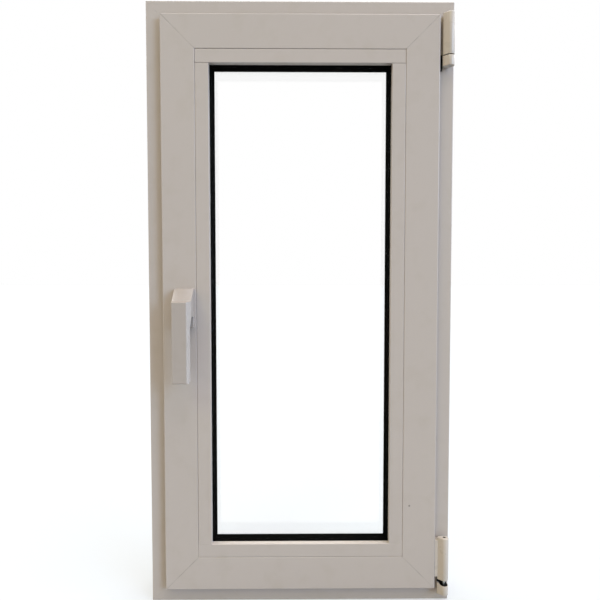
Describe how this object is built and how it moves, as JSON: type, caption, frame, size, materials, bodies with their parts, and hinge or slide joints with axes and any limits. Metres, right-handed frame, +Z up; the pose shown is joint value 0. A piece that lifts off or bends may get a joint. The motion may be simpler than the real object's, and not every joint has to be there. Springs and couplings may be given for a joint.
{
  "type": "tilt and turn window",
  "caption": "Single-sash tilt and turn window: mitred white metal frame and sash, beaded double glazing, lever handle, side hinges and a tilt stay.",
  "frame": {"origin": "middle of the flat underside of the frame's sill", "axes": "+X to the right seen from the room, +Y from the room to the outdoors, +Z up"},
  "size_m": [0.5, 0.138, 0.992],
  "materials": {
    "white_lacquer": "satin",
    "hinge_lacquer": "satin",
    "handle_lacquer": "satin",
    "white_plastic": "matt",
    "black_rubber": "matt",
    "black_plastic": "matt",
    "clear_glass": "clear",
    "steel": "zinc plated"
  },
  "bodies": {
    "frame": {"frame_head": "white_lacquer", "frame_sill": "white_lacquer", "frame_left_jamb": "white_lacquer", "frame_right_jamb": "white_lacquer", "frame_stop_seal": "black_rubber", "drain_caps": "white_plastic", "top_hinge_bearing": "hinge_lacquer", "top_hinge_pin": "steel", "bottom_hinge_bracket": "hinge_lacquer", "bottom_hinge_liner": "black_plastic", "lock_keepers": "steel"},
    "pivot": {"bottom_hinge_seat": "black_plastic"},
    "sash": {"sash_top_rail": "white_lacquer", "sash_bottom_rail": "white_lacquer", "sash_lock_stile": "white_lacquer", "sash_hinge_stile": "white_lacquer", "sash_wing_seal": "black_rubber", "bead_top": "white_lacquer", "bead_bottom": "white_lacquer", "bead_left": "white_lacquer", "bead_right": "white_lacquer", "glazing_gasket_inner": "black_rubber", "glazing_gasket_outer": "black_rubber", "pane_inner": "clear_glass", "pane_outer": "clear_glass", "pane_spacer": "black_plastic", "bottom_hinge_leaf": "hinge_lacquer", "bottom_hinge_ball": "steel", "handle_rose": "handle_lacquer", "lock_bar": "steel"},
    "stay": {"top_hinge_eye": "hinge_lacquer", "stay_arm": "steel"},
    "handle": {"handle_lever": "handle_lacquer"}
  },
  "joints": [
    {"name": "turn", "type": "hinge", "parent": "frame", "child": "pivot", "pos_m": [0.24, -0.0465, 0.0255], "axis": [0, 0, 1], "range_deg": [0, 90]},
    {"name": "tilt", "type": "hinge", "parent": "pivot", "child": "sash", "pos_m": [0.24, -0.0465, 0.0255], "axis": [-1, 0, 0], "range_deg": [-8, 0]},
    {"name": "stay_swing", "type": "hinge", "parent": "pivot", "child": "stay", "pos_m": [0.24, -0.0465, 0.8934], "axis": [0, 0, 1], "range_deg": [0, 24]},
    {"name": "handle", "type": "hinge", "parent": "sash", "child": "handle", "pos_m": [-0.1876, -0.057, 0.4963], "axis": [0, 1, 0], "range_deg": [-180, 0]}
  ],
  "couplings": [
    {"joint": "stay_swing", "follows": "tilt", "ratio": -2.9}
  ]
}
